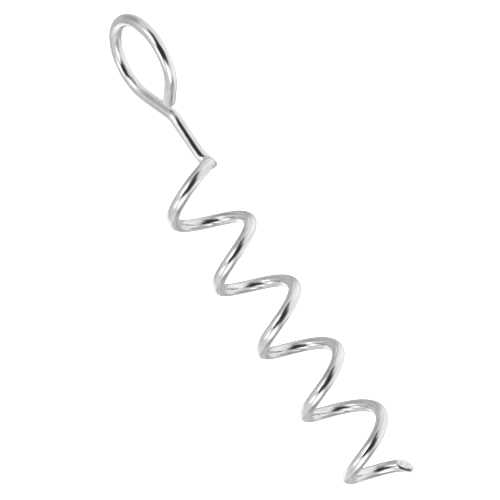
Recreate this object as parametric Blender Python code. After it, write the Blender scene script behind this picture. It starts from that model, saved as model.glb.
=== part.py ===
"""Corkscrew ground anchor: one length of round steel bar, cold bent into an eye, a shank and an open coil.

The anchor stands as it is used. The coil's axis is the Z axis, the eye is on top and its hole faces along Y.
Z = 0 is the ground line, which the anchor is screwed down to.

The bar is laid out as it is bent, from the shoulder where the shank meets the coil. One run goes up through
the elbow, shank and neck to the eye's free end, and one goes down the coil to the cut point. Each straight,
bend and turn is an object of its own, with a hairline gap to the next one.
"""
import math

import bmesh
import bpy
from mathutils import Matrix, Vector

MM = 0.001

# Bar stock
BAR_DIAMETER = 9.5 * MM
BAR_SIDES = 16
SECTION_GAP = 0.3 * MM
BEND_STEP = math.radians(9.0)
COIL_STEP = math.radians(9.0)
SHARP_ANGLE = math.radians(40.0)

# Coil: right-handed, so it runs clockwise as it goes down
COIL_RADIUS = 23.4 * MM
COIL_PITCH = 56.65 * MM
FULL_TURNS = 4
POINT_TURN_ANGLE = math.radians(225.0)
SHOULDER_AZIMUTH = math.radians(80.5)
SHOULDER_DEPTH = 38.0 * MM
LEAD_IN_ANGLE = math.radians(106.0)
LEAD_IN_START_SHARE = 0.06

# Elbow and shank
ELBOW_RADIUS = 6.9 * MM
SHANK_LENGTH = 33.1 * MM
SHANK_LEAN = math.radians(3.0)
SHANK_LEAN_AZIMUTH = math.radians(140.0)

# Eye, bent in one plane
NECK_RADIUS = 8.9 * MM
NECK_ANGLE = math.radians(35.6)
ROOT_LEG_LENGTH = 30.75 * MM
EYE_RADIUS = 32.35 * MM
EYE_ANGLE = math.radians(281.0)
FREE_LEG_LENGTH = 17.4 * MM
FREE_END_ROUNDING = 1.4 * MM
FREE_END_STEPS = 3

# Cut point: sheared at a slant, so that the bar's underside leads
POINT_CUT_SLANT = math.radians(47.5)
POINT_CUT_CANT = math.radians(12.0)
POINT_DEBURR = 0.4 * MM
POINT_REACH = 2 * BAR_DIAMETER

ZINC_COLOUR = (0.78, 0.79, 0.80, 1.0)
ZINC_ROUGHNESS = 0.22


def clear_scene():
    for item in list(bpy.data.objects):
        bpy.data.objects.remove(item, do_unlink=True)


def zinc_material(name):
    material = bpy.data.materials.new(name)
    material.use_nodes = True
    shader = material.node_tree.nodes["Principled BSDF"]
    shader.inputs["Base Color"].default_value = ZINC_COLOUR
    shader.inputs["Roughness"].default_value = ZINC_ROUGHNESS
    shader.inputs["Metallic"].default_value = 1.0
    return material


def station(point, along, towards):
    """Place on the bar: Z runs along the bar and X points towards the next bend's centre."""
    z = along.normalized()
    x = (towards - towards.dot(z) * z).normalized()
    y = z.cross(x)
    frame = Matrix((x, y, z)).transposed().to_4x4()
    frame.translation = point
    return frame


def swept_bar(stations, radii):
    """Round bar skinned through its stations, closed with a flat face at each end."""
    bm = bmesh.new()
    ring = bmesh.ops.create_circle(bm, segments=BAR_SIDES, radius=1.0)["verts"]
    edges = list(bm.edges)
    bmesh.ops.transform(bm, matrix=stations[0] @ Matrix.Scale(radii[0], 4), verts=ring)
    for before, after, old_radius, radius in zip(stations, stations[1:], radii, radii[1:]):
        grown = bmesh.ops.extrude_edge_only(bm, edges=edges)["geom"]
        ring = [item for item in grown if isinstance(item, bmesh.types.BMVert)]
        edges = [item for item in grown if isinstance(item, bmesh.types.BMEdge) and set(item.verts) <= set(ring)]
        move = after @ Matrix.Scale(radius / old_radius, 4) @ before.inverted()
        bmesh.ops.transform(bm, matrix=move, verts=ring)
    bmesh.ops.holes_fill(bm, edges=bm.edges, sides=BAR_SIDES)
    bmesh.ops.recalc_face_normals(bm, faces=bm.faces)
    return bm


def add_section(name, bm, place, parent):
    """Turn a section, built in its own frame, into a named object that stands at its place."""
    mesh = bpy.data.meshes.new(name)
    bm.to_mesh(mesh)
    bm.free()
    mesh.shade_smooth()
    mesh.set_sharp_from_angle(angle=SHARP_ANGLE)
    mesh.materials.append(zinc_material(name))
    section = bpy.data.objects.new(name, mesh)
    bpy.context.scene.collection.objects.link(section)
    section.parent = parent
    section.matrix_world = place
    return section


def straight(name, place, length, parent, end_rounding=0.0):
    """Straight run along the local Z axis. Returns the place where it ends."""
    heights = [SECTION_GAP / 2]
    radii = [BAR_DIAMETER / 2]
    if end_rounding:
        for step in range(FREE_END_STEPS + 1):
            turn = math.pi / 2 * step / FREE_END_STEPS
            heights.append(length - end_rounding * (1 - math.sin(turn)))
            radii.append(BAR_DIAMETER / 2 - end_rounding * (1 - math.cos(turn)))
    else:
        heights.append(length - SECTION_GAP / 2)
        radii.append(BAR_DIAMETER / 2)
    stations = [Matrix.Translation((0, 0, height)) for height in heights]
    add_section(name, swept_bar(stations, radii), place, parent)
    return place @ Matrix.Translation((0, 0, length))


def bent(radius, angle):
    """Move along a bend about a centre on the local X axis."""
    centre = Matrix.Translation((radius, 0, 0))
    return centre @ Matrix.Rotation(angle, 4, "Y") @ centre.inverted()


def bend(name, place, radius, angle, parent):
    """Bend towards the local X axis. Returns the place where it ends."""
    trim = SECTION_GAP / 2 / radius
    steps = math.ceil((angle - 2 * trim) / BEND_STEP)
    sweep = angle - 2 * trim
    stations = [bent(radius, trim + sweep * step / steps) for step in range(steps + 1)]
    radii = [BAR_DIAMETER / 2] * len(stations)
    add_section(name, swept_bar(stations, radii), place, parent)
    return place @ bent(radius, angle)


def rolled(place, towards):
    """Turn the bar about its own axis so that the next bend goes towards a direction."""
    return station(place.translation, place.col[2].to_3d(), towards)


def coil_drop(angle):
    """Height lost since the shoulder: the pitch eases in over the lead-in, then stays constant."""
    eased = min(angle, LEAD_IN_ANGLE) / LEAD_IN_ANGLE
    share = LEAD_IN_START_SHARE * eased + (1 - LEAD_IN_START_SHARE) * eased ** 2 / 2
    steady = max(angle - LEAD_IN_ANGLE, 0.0)
    return COIL_PITCH / (2 * math.pi) * (LEAD_IN_ANGLE * share + steady)


def coil_slope(angle):
    """Pitch at this point as a share of the full pitch."""
    eased = min(angle / LEAD_IN_ANGLE, 1.0)
    return LEAD_IN_START_SHARE + (1 - LEAD_IN_START_SHARE) * eased


def coil_station(angle):
    """Place on the coil, this far round from the shoulder, with X pointing away from the coil's axis."""
    azimuth = SHOULDER_AZIMUTH - angle
    outward = Vector((math.cos(azimuth), math.sin(azimuth), 0))
    clockwise = Vector((math.sin(azimuth), -math.cos(azimuth), 0))
    fall = COIL_PITCH / (2 * math.pi) * coil_slope(angle)
    along = COIL_RADIUS * clockwise - Vector((0, 0, fall))
    point = COIL_RADIUS * outward - Vector((0, 0, SHOULDER_DEPTH + coil_drop(angle)))
    return station(point, along, outward)


def winding(start, end):
    """Bar wound round the coil's axis from one angle to another, built about its own starting height."""
    length_per_angle = math.hypot(COIL_RADIUS, COIL_PITCH / (2 * math.pi))
    trim = SECTION_GAP / 2 / length_per_angle
    steps = math.ceil((end - start) / COIL_STEP)
    sweep = end - start - 2 * trim
    lift = Matrix.Translation((0, 0, SHOULDER_DEPTH + coil_drop(start)))
    stations = [lift @ coil_station(start + trim + sweep * step / steps) for step in range(steps + 1)]
    return swept_bar(stations, [BAR_DIAMETER / 2] * len(stations))


def cut_point(bm, end, lift):
    """Shear the bar off at a slant about its centreline and take the burr off the cut's rim."""
    tip = lift @ coil_station(end)
    along = tip.col[2].to_3d()
    outward = tip.col[0].to_3d()
    upper = along.cross(outward)
    if upper.z < 0:
        upper = -upper
    lean = math.cos(POINT_CUT_CANT) * upper - math.sin(POINT_CUT_CANT) * outward
    normal = math.cos(POINT_CUT_SLANT) * along + math.sin(POINT_CUT_SLANT) * lean
    near = {vert for vert in bm.verts if (vert.co - tip.translation).length < POINT_REACH}
    edges = [edge for edge in bm.edges if near.intersection(edge.verts)]
    faces = [face for face in bm.faces if near.intersection(face.verts)]
    verts = {vert for edge in edges for vert in edge.verts}
    cut = bmesh.ops.bisect_plane(bm, geom=sorted(verts, key=lambda vert: vert.index) + edges + faces,
                                 plane_co=tip.translation, plane_no=normal, clear_outer=True)["geom_cut"]
    rim = [item for item in cut if isinstance(item, bmesh.types.BMEdge)]
    bmesh.ops.holes_fill(bm, edges=rim, sides=len(rim))
    bmesh.ops.bevel(bm, geom=rim, offset=POINT_DEBURR, segments=1, affect="EDGES")
    bmesh.ops.recalc_face_normals(bm, faces=bm.faces)


def build_upper_run(root):
    """Elbow, shank and eye, from the shoulder up to the eye's free end."""
    shoulder = coil_station(0.0)
    backwards = -shoulder.col[2].to_3d()
    lean = Vector((math.cos(SHANK_LEAN_AZIMUTH), math.sin(SHANK_LEAN_AZIMUTH), 0))
    up = math.cos(SHANK_LEAN) * Vector((0, 0, 1)) + math.sin(SHANK_LEAN) * lean
    eye_side = Vector((1, 0, 0))

    place = station(shoulder.translation, backwards, up)
    place = bend("elbow", place, ELBOW_RADIUS, backwards.angle(up), root)
    place = straight("shank", rolled(place, -eye_side), SHANK_LENGTH, root)
    place = bend("neck", place, NECK_RADIUS, NECK_ANGLE, root)
    place = straight("eye_root_leg", rolled(place, eye_side), ROOT_LEG_LENGTH, root)
    place = bend("eye_ring", place, EYE_RADIUS, EYE_ANGLE, root)
    straight("eye_free_leg", place, FREE_LEG_LENGTH, root, end_rounding=FREE_END_ROUNDING)


def build_coil(root):
    """Lead-in, full turns and point turn, from the shoulder down to the cut point."""
    def coil_place(start):
        return Matrix.Translation((0, 0, -SHOULDER_DEPTH - coil_drop(start)))

    add_section("coil_lead_in", winding(0.0, LEAD_IN_ANGLE), coil_place(0.0), root)
    start = LEAD_IN_ANGLE
    for number in range(1, FULL_TURNS + 1):
        turn = winding(start, start + 2 * math.pi)
        add_section(f"coil_turn_{number}", turn, coil_place(start), root)
        start += 2 * math.pi

    end = start + POINT_TURN_ANGLE
    beyond = BAR_DIAMETER / COIL_RADIUS
    point_turn = winding(start, end + beyond)
    cut_point(point_turn, end, coil_place(start).inverted())
    add_section("coil_point", point_turn, coil_place(start), root)


def main():
    clear_scene()
    root = bpy.data.objects.new("anchor", None)
    bpy.context.scene.collection.objects.link(root)
    build_upper_run(root)
    build_coil(root)


main()
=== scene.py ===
"""Looks for the corkscrew ground anchor: one continuous, bright zinc-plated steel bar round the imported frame.

The bar is swept once along its whole bend program, so no section line shows, and its surface carries what
bending and shearing leave behind. Lengths are in metres unless a name says millimetres.
"""

import math

import bmesh
import bpy
import numpy as np
from mathutils import Matrix, Vector


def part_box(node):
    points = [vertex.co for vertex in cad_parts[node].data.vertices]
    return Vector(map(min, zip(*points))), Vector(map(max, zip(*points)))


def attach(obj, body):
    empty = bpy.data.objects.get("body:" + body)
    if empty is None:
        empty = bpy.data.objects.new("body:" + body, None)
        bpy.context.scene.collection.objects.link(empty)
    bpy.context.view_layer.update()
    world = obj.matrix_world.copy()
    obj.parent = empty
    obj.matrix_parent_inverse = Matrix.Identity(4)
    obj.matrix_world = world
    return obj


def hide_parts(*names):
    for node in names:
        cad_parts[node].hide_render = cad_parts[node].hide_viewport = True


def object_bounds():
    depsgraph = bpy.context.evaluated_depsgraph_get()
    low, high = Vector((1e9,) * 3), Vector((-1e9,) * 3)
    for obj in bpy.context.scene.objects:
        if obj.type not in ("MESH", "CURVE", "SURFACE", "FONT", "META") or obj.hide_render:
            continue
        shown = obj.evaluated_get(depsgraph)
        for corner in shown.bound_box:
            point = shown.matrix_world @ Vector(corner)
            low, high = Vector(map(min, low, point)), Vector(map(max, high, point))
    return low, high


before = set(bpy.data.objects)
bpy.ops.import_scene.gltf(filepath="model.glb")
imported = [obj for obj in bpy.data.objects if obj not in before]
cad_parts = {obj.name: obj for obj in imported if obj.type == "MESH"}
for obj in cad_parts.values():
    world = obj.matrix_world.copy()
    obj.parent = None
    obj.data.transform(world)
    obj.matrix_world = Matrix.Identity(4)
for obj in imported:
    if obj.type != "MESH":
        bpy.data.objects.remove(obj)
CAD_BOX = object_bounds()

MM = 0.001

# The bend program, as the CAD part has it. The coil's own sizes are read from the frame.
BAR_RADIUS = 4.75 * MM
SHOULDER_AZIMUTH = math.radians(80.5)
LEAD_IN_ANGLE = math.radians(106.0)
LEAD_IN_START_SHARE = 0.06
FULL_TURNS = 4
POINT_TURN_ANGLE = math.radians(225.0)
CAD_ELBOW_RADIUS = 6.9 * MM
ELBOW_RADIUS = 5.2 * MM
SHANK_LENGTH = 33.1 * MM
SHANK_LEAN = math.radians(3.0)
SHANK_LEAN_AZIMUTH = math.radians(140.0)
NECK_RADIUS = 8.9 * MM
NECK_ANGLE = math.radians(35.6)
ROOT_LEG_LENGTH = 30.75 * MM
EYE_RADIUS = 32.35 * MM
EYE_ANGLE = math.radians(281.0)
FREE_LEG_LENGTH = 17.4 * MM
FREE_END_ROUNDING = 1.4 * MM
POINT_CUT_SLANT = math.radians(52.0)
POINT_CUT_CANT = math.radians(6.0)
POINT_RIM = 0.5 * MM
POINT_CHAMFER = 3.8 * MM
POINT_BULGE = 0.28
POINT_ALLOWANCE = 1.6 * MM

COIL_LOW, COIL_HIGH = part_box("coil_turn_1")
COIL_RADIUS = (COIL_HIGH.x - COIL_LOW.x) / 2 - BAR_RADIUS
COIL_PITCH = COIL_LOW.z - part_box("coil_turn_2")[0].z
SHOULDER_DEPTH = BAR_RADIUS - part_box("coil_lead_in")[1].z

# Camera: almost level, and rolled so that the anchor lies across the picture
CAMERA_AIM = Vector((5.25, 9.97, -108.1)) * MM
CAMERA_AZIMUTH = math.radians(62.22)
CAMERA_ELEVATION = math.radians(1.92)
CAMERA_ROLL = math.radians(34.3)
CAMERA_DISTANCE = 902.5 * MM
CAMERA_LENS = 89.0
SENSOR_WIDTH = 36.0

# Light seen in the metal: angle off the camera's line, clock angle round it, half-widths and brightness
SOFT_SHAPES = (
    ("rim", 180, 0, 45, 60, 0.55),
    ("behind", 180, 0, 10, 30, 0.90),
    ("upper_left_grey", 95, 130, 10, 35, 0.50),
    ("left_grey", 135, 175, 15, 60, 0.70),
    ("lower_right_grey", 90, -60, 10, 35, 0.50),
    ("under_grey", 130, -85, 15, 20, 0.75),
    ("right_grey", 105, 20, 5, 75, 1.30),
    ("outline", 180, 0, 25, 45, 0.65),
    ("far_lower_left_box", 140, -140, 5, 35, 1.40),
    ("left_box", 40, 160, 5, 25, 2.15),
    ("lower_left_box", 60, -145, 5, 20, 1.85),
    ("lower_box", 55, -80, 10, 30, 1.80),
    ("right_box", 85, -5, 10, 30, 1.25),
    ("upper_right_box", 80, 60, 5, 20, 1.25),
    ("camera_dark_top", 40, 85, 5, 25, 0.10),
    ("camera_dark_left", 15, -135, 15, 20, 0.05),
    ("camera_dark_right", 20, -5, 10, 35, 0.05),
    ("camera_dark", 10, 60, 10, 30, 0.05),
)
SURROUND = 0.95
DOME_CENTRE = Vector((0.0, 0.0, -60.0)) * MM
DOME_RADIUS = 950.0 * MM
WORLD_LIGHT = 2.2
FLOOR_REACH = 4.0
FLOOR_GREY = 0.93

# How far the real coil sits above (+) or below (-) an even one, in millimetres, after that many turns
PITCH_ERRORS = ((0.0, 0.0), (0.28, 0.9), (0.8, 0.4), (1.3, -0.1), (1.8, -0.45), (2.8, -0.3), (4.1, -0.2),
                (4.4, 0.6), (4.78, 0.6), (4.92, 1.5), (5.2, 3.0))

# How far the real elbow sits from an even one, and over what length along the bar that fades out
ELBOW_OFFSET = np.array([0.6, 1.1, -1.5]) * MM
ELBOW_OFFSET_REACH = 8.0 * MM
ELBOW_MIDDLE = 0.5 * MM

# The flat that the bending tool pressed into the elbow's side: the way it faces, its height as a share of the
# bar's radius, and its place and reach along the bar
FLAT_FACING = np.array([0.417, 0.820, 0.389])
FLAT_HEIGHT = 0.50
FLAT_PLACE = 7.0 * MM
FLAT_REACH = 4.5 * MM

# What bending leaves: eased changes from bend to bend, and an oval section, flat outside and wide across
EASING = 2.2 * MM
BEND_BLUR = 2.0 * MM
MOST_STRAIN = 0.8
FLATTENING = 0.38
WIDENING = 0.10

# Waviness of the bar's surface: how many waves, their lengths, lobes round the bar and height
WAVES = ((24, (30 * MM, 70 * MM), 4, 0.030 * MM), (40, (6 * MM, 16 * MM), 7, 0.010 * MM))
WAVE_SEED = 7

# Plate: roughness of clear and cloudy metal, and what drawn lines and cut faces add; then greys
CLEAR_ROUGHNESS = 0.01
CLOUDY_ROUGHNESS = 0.03
LINE_ROUGHNESS = 0.01
CUT_ROUGHNESS = 0.25
DARK_PLATE = 0.52
BRIGHT_PLATE = 0.72
DARK_CUT = 0.50
BRIGHT_CUT = 0.74
GROUND_EDGE = 0.50

# Plate texture: features per metre, stretch along the bar, and relief
LINE_SCALE = 900.0
FINE_LINE_SCALE = 1500.0
LINE_STRETCH = 0.03
LINE_HEIGHT = 0.08 * MM
CREASE_SCALE = 1300.0
CREASE_STRETCH = 0.12
CREASE_HEIGHT = 1.8 * MM
PEEL_SCALE = 800.0
PEEL_HEIGHT = 0.02 * MM
CLOUD_SCALE = 120.0
SHEAR_SCALE = 700.0

# Mesh
SIDES = 48
RING_STEP = 1.0 * MM
PATH_STEP = 0.2 * MM
FREE_FACE_SHARES = (0.04, 0.25, 0.5, 0.75, 0.92, 1.0)
FREE_FACE_CROWN = 0.12 * MM
FREE_ROUNDING_RINGS = 8
POINT_RUN = 3 * MM
POINT_RUN_RINGS = 10
POINT_FACE_SHARES = (0.8, 0.6, 0.35, 0.05)


def unit(vector):
    return vector / np.linalg.norm(vector)


def turned(vector, axis, angle):
    """Rodrigues' rotation of a vector about a unit axis."""
    return (vector * math.cos(angle) + np.cross(axis, vector) * math.sin(angle)
            + axis * np.dot(axis, vector) * (1 - math.cos(angle)))


# --- The bar's centreline -------------------------------------------------------------------------------

def coil_drop(angle):
    """How far the even coil has dropped after that angle, with a lead-in that starts almost flat."""
    eased = np.minimum(angle, LEAD_IN_ANGLE) / LEAD_IN_ANGLE
    share = LEAD_IN_START_SHARE * eased + (1 - LEAD_IN_START_SHARE) * eased ** 2 / 2
    steady = np.maximum(angle - LEAD_IN_ANGLE, 0.0)
    return COIL_PITCH / (2 * math.pi) * (LEAD_IN_ANGLE * share + steady)


def coil_points(angles):
    """Centreline points of the coil, at angles measured from the shoulder."""
    azimuth = SHOULDER_AZIMUTH - angles
    lift = np.interp(angles / (2 * math.pi), *np.array(PITCH_ERRORS).T) * MM
    heights = -SHOULDER_DEPTH - coil_drop(angles) + lift
    return np.stack([COIL_RADIUS * np.cos(azimuth), COIL_RADIUS * np.sin(azimuth), heights], axis=1)


def straight_run(points, direction, length):
    count = math.ceil(length / PATH_STEP)
    steps = np.arange(1, count + 1)[:, None] * length / count
    points.extend(points[-1] + steps * direction)
    return direction


def bent_run(points, direction, towards, radius, angle):
    """Arc that turns the direction towards another one, in the plane of both."""
    side = unit(towards - np.dot(towards, direction) * direction)
    axis = np.cross(direction, side)
    centre = points[-1] + radius * side
    count = math.ceil(radius * angle / PATH_STEP)
    for step in range(1, count + 1):
        points.append(centre - radius * turned(side, axis, angle * step / count))
    return turned(direction, axis, angle)


def upper_run():
    """Points from the shoulder up through elbow, shank and neck, round the eye to its free end."""
    start, beyond = coil_points(np.array([0.0, 1e-5]))
    backwards = unit(start - beyond)
    lean = np.array([math.cos(SHANK_LEAN_AZIMUTH), math.sin(SHANK_LEAN_AZIMUTH), 0.0])
    up = math.cos(SHANK_LEAN) * np.array([0.0, 0.0, 1.0]) + math.sin(SHANK_LEAN) * lean
    eye_side = np.array([1.0, 0.0, 0.0])
    points = [start]
    elbow_angle = math.acos(np.dot(backwards, up))
    slack = (CAD_ELBOW_RADIUS - ELBOW_RADIUS) * math.tan(elbow_angle / 2)
    heading = straight_run(points, backwards, slack)
    heading = bent_run(points, heading, up, ELBOW_RADIUS, elbow_angle)
    heading = straight_run(points, heading, SHANK_LENGTH + slack)
    heading = bent_run(points, heading, -eye_side, NECK_RADIUS, NECK_ANGLE)
    heading = straight_run(points, heading, ROOT_LEG_LENGTH)
    heading = bent_run(points, heading, eye_side, EYE_RADIUS, EYE_ANGLE)
    straight_run(points, heading, FREE_LEG_LENGTH)
    return np.array(points)


def lengths_along(points):
    """Distance from the first point to each one."""
    steps = np.linalg.norm(np.diff(points, axis=0), axis=1)
    return np.concatenate([[0.0], np.cumsum(steps)])


class Bar:
    """The bar as a surface: a point for every distance along it and angle round it."""

    def __init__(self):
        upper = upper_run()[::-1]
        self.cut_angle = LEAD_IN_ANGLE + 2 * math.pi * FULL_TURNS + POINT_TURN_ANGLE
        overrun = 3 * BAR_RADIUS / COIL_RADIUS
        count = math.ceil((self.cut_angle + overrun) * COIL_RADIUS / PATH_STEP)
        coil = coil_points(np.linspace(0.0, self.cut_angle + overrun, count + 1))[1:]
        centre = smoothed(np.vstack([upper, coil]), EASING / PATH_STEP)
        elbow = lengths_along(centre)[len(upper) - 1] - ELBOW_MIDDLE
        self.flat_place = elbow + FLAT_PLACE
        fade = np.exp(-0.5 * ((lengths_along(centre) - elbow) / ELBOW_OFFSET_REACH) ** 2)
        self.centre = centre + fade[:, None] * ELBOW_OFFSET
        self.along = lengths_along(self.centre)
        tangent = np.gradient(self.centre, self.along, axis=0)
        self.tangent = tangent / np.linalg.norm(tangent, axis=1)[:, None]
        self.bend = smoothed(np.gradient(self.tangent, self.along, axis=0), BEND_BLUR / PATH_STEP)
        self.side = self.carried_side()
        self.third = np.cross(self.tangent, self.side)

    def carried_side(self):
        """A direction across the bar, carried along it without twist."""
        side = unit(np.cross(self.tangent[0], [0.0, 1.0, 0.0]))
        sides = []
        for tangent in self.tangent:
            side = unit(side - np.dot(side, tangent) * tangent)
            sides.append(side)
        return np.array(sides)

    def at(self, values, distance):
        """A path quantity at any distances along the bar."""
        flat = np.stack([np.interp(distance.ravel(), self.along, values[:, i]) for i in range(3)], axis=1)
        return flat.reshape(distance.shape + (3,))

    def outward(self, distance, angle):
        """Unit vector out of the bar at any distance along it and angle round it."""
        side = self.at(self.side, distance)
        third = self.at(self.third, distance)
        return np.cos(angle)[..., None] * side + np.sin(angle)[..., None] * third

    def surface(self, distance, angle, radius=None):
        """A point on the bar's skin, or at a given radius inside it."""
        out = self.outward(distance, angle)
        if radius is None:
            radius = self.radius(distance, angle, out)
        return self.at(self.centre, distance) + radius[..., None] * out

    def cold_work(self, distance):
        """How hard the bar was worked there: 0 where it is straight, 0.64 in the tightest bend."""
        strength = np.linalg.norm(self.at(self.bend, distance), axis=-1)
        return np.minimum(BAR_RADIUS * strength, MOST_STRAIN) ** 2

    def radius(self, distance, angle, out):
        """Bar radius with the ovality of tight bends and the slight waviness of cold-drawn, rolled bar."""
        bend = self.at(self.bend, distance)
        across = np.sum(bend * out, axis=-1) / np.maximum(np.linalg.norm(bend, axis=-1), 1e-6)
        work = self.cold_work(distance)
        oval = WIDENING * (1 - across ** 2) - FLATTENING * np.maximum(-across, 0.0) ** 2
        pressed = np.minimum(FLAT_HEIGHT / np.maximum(out @ FLAT_FACING, 0.1), 1.0)
        near = np.exp(-0.5 * ((distance - self.flat_place) / FLAT_REACH) ** 2)
        return BAR_RADIUS * (1 + work * oval) * (1 - near * (1 - pressed)) + waviness(distance, angle)


def smoothed(values, width):
    """Gaussian blur of a path quantity, with a width in samples."""
    reach = math.ceil(3 * width)
    kernel = np.exp(-0.5 * (np.arange(-reach, reach + 1) / width) ** 2)
    kernel /= kernel.sum()
    padded = np.pad(values, ((reach, reach), (0, 0)), mode="edge")
    columns = [np.convolve(column, kernel, mode="valid") for column in padded.T]
    return np.stack(columns, axis=1)


def waviness(distance, angle):
    """A sum of seeded cosine waves along and round the bar."""
    draws = np.random.default_rng(WAVE_SEED)
    total = np.zeros(distance.shape)
    for count, lengths, most_lobes, height in WAVES:
        for _ in range(count):
            length = draws.uniform(*lengths)
            lobes = draws.integers(0, most_lobes)
            phases = draws.uniform(0, 2 * math.pi, 2)
            wave = np.cos(2 * math.pi * distance / length + phases[0]) * np.cos(lobes * angle + phases[1])
            total += height / math.sqrt(count) * wave
    return total


# --- Building the mesh ----------------------------------------------------------------------------------

def cut_plane(bar):
    """Centre and outward normal of the slanted cut at the coil's lower end."""
    ends = coil_points(np.array([bar.cut_angle, bar.cut_angle + 1e-5]))
    along = unit(ends[1] - ends[0])
    outward = unit(ends[0] * np.array([1.0, 1.0, 0.0]))
    upper = np.cross(along, outward)
    if upper[2] < 0:
        upper = -upper
    lean = math.cos(POINT_CUT_CANT) * upper - math.sin(POINT_CUT_CANT) * outward
    normal = math.cos(POINT_CUT_SLANT) * along + math.sin(POINT_CUT_SLANT) * lean
    return ends[0] + POINT_ALLOWANCE * along, normal


def cut_distances(bar, angles, centre, normal):
    """How far along the bar the cut plane lies, for each angle round it."""
    nominal = bar.along[np.argmin(np.linalg.norm(bar.centre - centre, axis=1))]
    distance = np.full(angles.shape, nominal)
    for _ in range(12):
        gap = (centre - bar.surface(distance, angles)) @ normal
        rate = bar.at(bar.tangent, distance) @ normal
        distance = distance + gap / rate
    return distance


def chamfer_widths(bar, cut, angles):
    """The cut's edge is dressed most on the side that faces down and towards the coil's axis."""
    along = bar.at(bar.tangent, cut)
    centre = bar.at(bar.centre, cut)
    axis_side = -centre * np.array([1.0, 1.0, 0.0])
    axis_side /= np.linalg.norm(axis_side, axis=1)[:, None]
    below = np.array([0.0, 0.0, -1.0]) + along[:, 2:] * along
    below /= np.linalg.norm(below, axis=1)[:, None]
    dressed = (axis_side + below) / math.sqrt(2)
    share = np.maximum(np.sum(bar.outward(cut, angles) * dressed, axis=1), 0.0)
    return POINT_RIM + (POINT_CHAMFER - POINT_RIM) * share ** 1.5


def ring_stack(bar):
    """Rings of points from the middle of the free end's face to the middle of the cut face, with four values
    for the material: the place on the bar if it were straight, how much of a cut face it is, how hard the bar
    was worked there, and whether it is the edge that was ground off."""
    angles = np.arange(SIDES) * 2 * math.pi / SIDES
    rings, places, masks, works, grounds = [], [], [], [], []

    def add(points, distance, radius, mask, ground=0.0):
        rings.append(points)
        places.append(np.stack([radius * np.cos(angles), radius * np.sin(angles), distance], axis=1))
        masks.append(np.full(SIDES, mask))
        works.append(bar.cold_work(distance))
        grounds.append(np.full(SIDES, ground))

    full = np.full(SIDES, BAR_RADIUS)
    # free end: sheared face, then its rounded rim
    face_radius = BAR_RADIUS - FREE_END_ROUNDING
    for share in FREE_FACE_SHARES:
        radius = np.full(SIDES, face_radius * share)
        distance = np.full(SIDES, FREE_FACE_CROWN * (1 - share ** 2))
        add(bar.surface(distance, angles, radius), distance, radius, 1.0)
    for step in range(1, FREE_ROUNDING_RINGS + 1):
        turn = math.pi / 2 * step / FREE_ROUNDING_RINGS
        radius = np.full(SIDES, face_radius + FREE_END_ROUNDING * math.sin(turn))
        distance = np.full(SIDES, FREE_END_ROUNDING * (1 - math.cos(turn)))
        add(bar.surface(distance, angles, radius), distance, radius, 0.0)

    centre, normal = cut_plane(bar)
    cut = cut_distances(bar, angles, centre, normal)
    body_end = cut.min() - POINT_RUN
    start = FREE_END_ROUNDING
    count = math.ceil((body_end - start) / RING_STEP)
    for step in range(1, count + 1):
        distance = np.full(SIDES, start + (body_end - start) * step / count)
        add(bar.surface(distance, angles), distance, full, 0.0)
    chamfer = chamfer_widths(bar, cut, angles)
    rim = cut - chamfer
    for step in range(1, POINT_RUN_RINGS + 1):
        distance = body_end + (rim - body_end) * step / POINT_RUN_RINGS
        add(bar.surface(distance, angles), distance, full, 0.0)
    # a ground chamfer, a little rounded, leads from the bar's side to the cut face
    below = bar.surface(rim, angles)
    edge = bar.surface(cut, angles)
    middle = edge.mean(axis=0)
    face_share = 1 - chamfer / BAR_RADIUS
    face = middle + (edge - middle) * face_share[:, None]
    for t, ground in ((0.0, 0.0), (0.08, 1.0), (0.5, 1.0), (0.92, 1.0), (1.0, 0.0)):
        bulge = POINT_BULGE * 4 * t * (1 - t) * (edge - (below + face) / 2)
        radius = full * (1 - (1 - face_share) * t)
        add((1 - t) * below + t * face + bulge, rim + chamfer * t, radius, t, ground)
    for share in POINT_FACE_SHARES:
        add(middle + (face - middle) * share, cut, full * face_share * share, 1.0)
    return rings, places, masks, works, grounds


def build_bar(bar):
    rings, places, masks, works, grounds = ring_stack(bar)
    verts = np.concatenate(rings)
    faces = []
    for ring in range(len(rings) - 1):
        low, high = ring * SIDES, (ring + 1) * SIDES
        for side in range(SIDES):
            after = (side + 1) % SIDES
            faces.append((low + side, low + after, high + after, high + side))
    last = (len(rings) - 1) * SIDES
    faces.append(tuple(range(SIDES))[::-1])
    faces.append(tuple(range(last, last + SIDES)))
    mesh = bpy.data.meshes.new("anchor_bar")
    mesh.from_pydata(verts.tolist(), [], faces)
    mesh.validate()
    place = mesh.attributes.new("bar_place", "FLOAT_VECTOR", "POINT")
    place.data.foreach_set("vector", np.concatenate(places).astype(np.float32).ravel())
    cut = mesh.attributes.new("cut_face", "FLOAT", "POINT")
    cut.data.foreach_set("value", np.concatenate(masks).astype(np.float32))
    work = mesh.attributes.new("cold_work", "FLOAT", "POINT")
    work.data.foreach_set("value", np.concatenate(works).astype(np.float32))
    ground = mesh.attributes.new("ground_edge", "FLOAT", "POINT")
    ground.data.foreach_set("value", np.concatenate(grounds).astype(np.float32))
    mesh.shade_smooth()
    mesh.set_sharp_from_angle(angle=math.radians(50))
    piece = bpy.data.objects.new("anchor_bar", mesh)
    bpy.context.scene.collection.objects.link(piece)
    return piece


# --- Material -------------------------------------------------------------------------------------------

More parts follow.
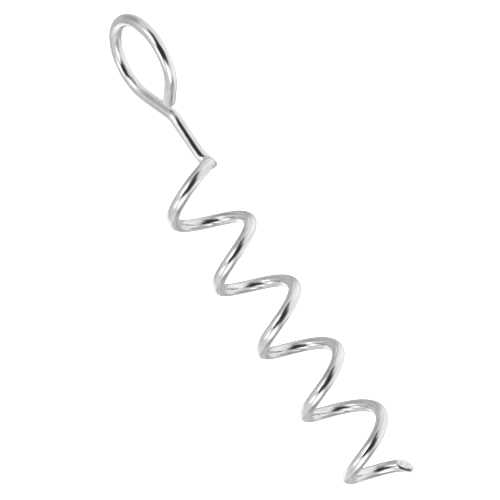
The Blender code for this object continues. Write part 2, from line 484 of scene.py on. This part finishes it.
class Tree:
    """Short calls for building a node tree."""

    def __init__(self, tree):
        self.tree = tree

    def node(self, kind, inputs=None, **settings):
        made = self.tree.nodes.new(kind)
        for name, value in settings.items():
            setattr(made, name, value)
        for name, value in (inputs or {}).items():
            socket = made.inputs[name]
            if isinstance(value, bpy.types.NodeSocket):
                self.tree.links.new(value, socket)
            else:
                socket.default_value = value
        return made

    def math(self, operation, first, second):
        return self.node("ShaderNodeMath", {0: first, 1: second}, operation=operation).outputs["Value"]

    def vector_math(self, operation, *vectors):
        return self.node("ShaderNodeVectorMath", dict(enumerate(vectors)), operation=operation)

    def spread(self, value, low, high, to_low=0.0, to_high=1.0):
        made = self.node("ShaderNodeMapRange", {"Value": value, "From Min": low, "From Max": high,
                                                "To Min": to_low, "To Max": to_high},
                         interpolation_type="SMOOTHSTEP")
        return made.outputs["Result"]

    def noise(self, vector, scale, detail=2.0, roughness=0.5):
        made = self.node("ShaderNodeTexNoise", {"Vector": vector, "Scale": scale, "Detail": detail,
                                                "Roughness": roughness})
        return made.outputs["Fac"]

    def stretched(self, vector, along):
        return self.vector_math("MULTIPLY", vector, (1.0, 1.0, along)).outputs["Vector"]

    def mix(self, share, first, second):
        made = self.node("ShaderNodeMix", {"Factor": share, "A": first, "B": second}, data_type="RGBA")
        return made.outputs["Result"]

    def bump(self, height, distance, under=None):
        """Relief of a height map, on top of the relief under it."""
        inputs = {"Height": height, "Strength": 1.0, "Distance": distance}
        if under is not None:
            inputs["Normal"] = under
        return self.node("ShaderNodeBump", inputs).outputs["Normal"]


def grey(level):
    return (level, level, level, 1.0)


def zinc_plate():
    """Bright plate over drawn, bent and sheared steel. Noise scales are in features per metre."""
    material = bpy.data.materials.new("zinc_plate")
    material.use_nodes = True
    tree = Tree(material.node_tree)
    shader = material.node_tree.nodes["Principled BSDF"]
    place = tree.node("ShaderNodeAttribute", attribute_name="bar_place").outputs["Vector"]
    cut = tree.node("ShaderNodeAttribute", attribute_name="cut_face").outputs["Fac"]
    work = tree.node("ShaderNodeAttribute", attribute_name="cold_work").outputs["Fac"]
    ground = tree.node("ShaderNodeAttribute", attribute_name="ground_edge").outputs["Fac"]

    drawn = tree.stretched(place, LINE_STRETCH)
    lines = tree.noise(drawn, LINE_SCALE)
    fine_lines = tree.noise(drawn, FINE_LINE_SCALE)
    cloud = tree.noise(place, CLOUD_SCALE, 3.0)
    peel = tree.noise(place, PEEL_SCALE)
    creases = tree.noise(tree.stretched(place, CREASE_STRETCH), CREASE_SCALE, 3.0, 0.6)
    sheared = tree.noise(place, SHEAR_SCALE, 3.0, 0.6)

    roughness = tree.spread(cloud, 0.3, 0.7, CLEAR_ROUGHNESS, CLOUDY_ROUGHNESS)
    roughness = tree.math("ADD", roughness, tree.spread(fine_lines, 0.45, 0.75, 0.0, LINE_ROUGHNESS))
    roughness = tree.math("ADD", roughness, tree.math("MULTIPLY", cut, CUT_ROUGHNESS))
    material.node_tree.links.new(roughness, shader.inputs["Roughness"])

    tone = tree.math("MULTIPLY", tree.spread(fine_lines, 0.38, 0.58), tree.spread(cloud, 0.2, 0.6, 0.5, 1.0))
    colour = tree.mix(tone, grey(DARK_PLATE), grey(BRIGHT_PLATE))
    cut_level = tree.spread(sheared, 0.3, 0.7, DARK_CUT, BRIGHT_CUT)
    channels = {"Red": cut_level, "Green": cut_level, "Blue": cut_level}
    cut_colour = tree.node("ShaderNodeCombineColor", channels).outputs["Color"]
    colour = tree.mix(cut, colour, cut_colour)
    colour = tree.mix(ground, colour, grey(GROUND_EDGE))
    material.node_tree.links.new(colour, shader.inputs["Base Color"])
    shader.inputs["Metallic"].default_value = 1.0

    normal = tree.bump(lines, LINE_HEIGHT)
    normal = tree.bump(tree.math("MULTIPLY", creases, work), CREASE_HEIGHT, under=normal)
    normal = tree.bump(peel, PEEL_HEIGHT, under=normal)
    material.node_tree.links.new(normal, shader.inputs["Normal"])
    return material


# --- Studio ---------------------------------------------------------------------------------------------

def camera_axes():
    """Right, up and backward directions of the camera."""
    back = Vector((math.sin(CAMERA_AZIMUTH) * math.cos(CAMERA_ELEVATION),
                   -math.cos(CAMERA_AZIMUTH) * math.cos(CAMERA_ELEVATION),
                   math.sin(CAMERA_ELEVATION)))
    level = Vector((0, 0, 1)).cross(back).normalized()
    upright = back.cross(level)
    right = math.cos(CAMERA_ROLL) * level - math.sin(CAMERA_ROLL) * upright
    up = math.cos(CAMERA_ROLL) * upright + math.sin(CAMERA_ROLL) * level
    return right, up, back


def add_camera():
    data = bpy.data.cameras.new("camera")
    data.lens = CAMERA_LENS
    data.sensor_width = SENSOR_WIDTH
    camera = bpy.data.objects.new("camera", data)
    right, up, back = camera_axes()
    turn = Matrix((right, up, back)).transposed()
    camera.matrix_world = Matrix.Translation(CAMERA_AIM + back * CAMERA_DISTANCE) @ turn.to_4x4()
    bpy.context.scene.collection.objects.link(camera)
    bpy.context.scene.camera = camera


def add_world():
    """Even white light for the floor and the background."""
    world = bpy.data.worlds.new("studio")
    bpy.context.scene.world = world
    world.use_nodes = True
    background = world.node_tree.nodes["Background"]
    background.inputs["Color"].default_value = (1, 1, 1, 1)
    background.inputs["Strength"].default_value = WORLD_LIGHT


def dome_light():
    """Emission that varies over the dome as the soft boxes and dark room round the camera do."""
    material = bpy.data.materials.new("studio_dome")
    material.use_nodes = True
    tree = Tree(material.node_tree)
    material.node_tree.nodes.clear()
    place = tree.node("ShaderNodeNewGeometry").outputs["Position"]
    heading = tree.vector_math("SUBTRACT", place, DOME_CENTRE).outputs["Vector"]
    heading = tree.vector_math("NORMALIZE", heading).outputs["Vector"]
    right, up, back = camera_axes()
    level = SURROUND
    for _, angle, clock, inner, outer, brightness in SOFT_SHAPES:
        off, round_ = math.radians(angle), math.radians(clock)
        centre = math.cos(off) * back + math.sin(off) * (math.cos(round_) * right + math.sin(round_) * up)
        facing = tree.vector_math("DOT_PRODUCT", heading, centre).outputs["Value"]
        share = tree.spread(facing, math.cos(math.radians(outer)), math.cos(math.radians(inner)))
        level = tree.node("ShaderNodeMix", {"Factor": share, "A": level, "B": brightness},
                          data_type="FLOAT").outputs["Result"]
    glow = tree.node("ShaderNodeEmission", {"Color": (1, 1, 1, 1), "Strength": level})
    output = tree.node("ShaderNodeOutputMaterial")
    material.node_tree.links.new(glow.outputs[0], output.inputs["Surface"])
    return material


def add_dome():
    """The studio round the anchor: the metal mirrors it, and nothing else sees it."""
    dome_mesh = bmesh.new()
    bmesh.ops.create_icosphere(dome_mesh, subdivisions=5, radius=DOME_RADIUS,
                               matrix=Matrix.Translation(DOME_CENTRE))
    mesh = bpy.data.meshes.new("studio_dome")
    dome_mesh.to_mesh(mesh)
    dome_mesh.free()
    mesh.materials.append(dome_light())
    dome = bpy.data.objects.new("studio_dome", mesh)
    dome.visible_camera = False
    dome.visible_diffuse = False
    dome.visible_shadow = False
    bpy.context.scene.collection.objects.link(dome)


def add_floor():
    """A plain pale floor at the anchor's lowest point, which the metal doesn't mirror."""
    low = CAD_BOX[0].z
    mesh = bpy.data.meshes.new("floor")
    corners = [(x * FLOOR_REACH, y * FLOOR_REACH, low) for x, y in ((-1, -1), (1, -1), (1, 1), (-1, 1))]
    mesh.from_pydata(corners, [], [(0, 1, 2, 3)])
    floor = bpy.data.objects.new("floor", mesh)
    material = bpy.data.materials.new("floor")
    material.use_nodes = True
    shader = material.node_tree.nodes["Principled BSDF"]
    shader.inputs["Base Color"].default_value = (FLOOR_GREY, FLOOR_GREY, FLOOR_GREY, 1)
    shader.inputs["Roughness"].default_value = 0.9
    shader.inputs["Specular IOR Level"].default_value = 0.0
    mesh.materials.append(material)
    floor.visible_glossy = False
    bpy.context.scene.collection.objects.link(floor)


# --- Scene ----------------------------------------------------------------------------------------------

bpy.context.scene.view_settings.view_transform = "Standard"
add_camera()
add_world()
add_dome()
add_floor()

anchor_bar = build_bar(Bar())
anchor_bar.data.materials.append(zinc_plate())
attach(anchor_bar, "root")
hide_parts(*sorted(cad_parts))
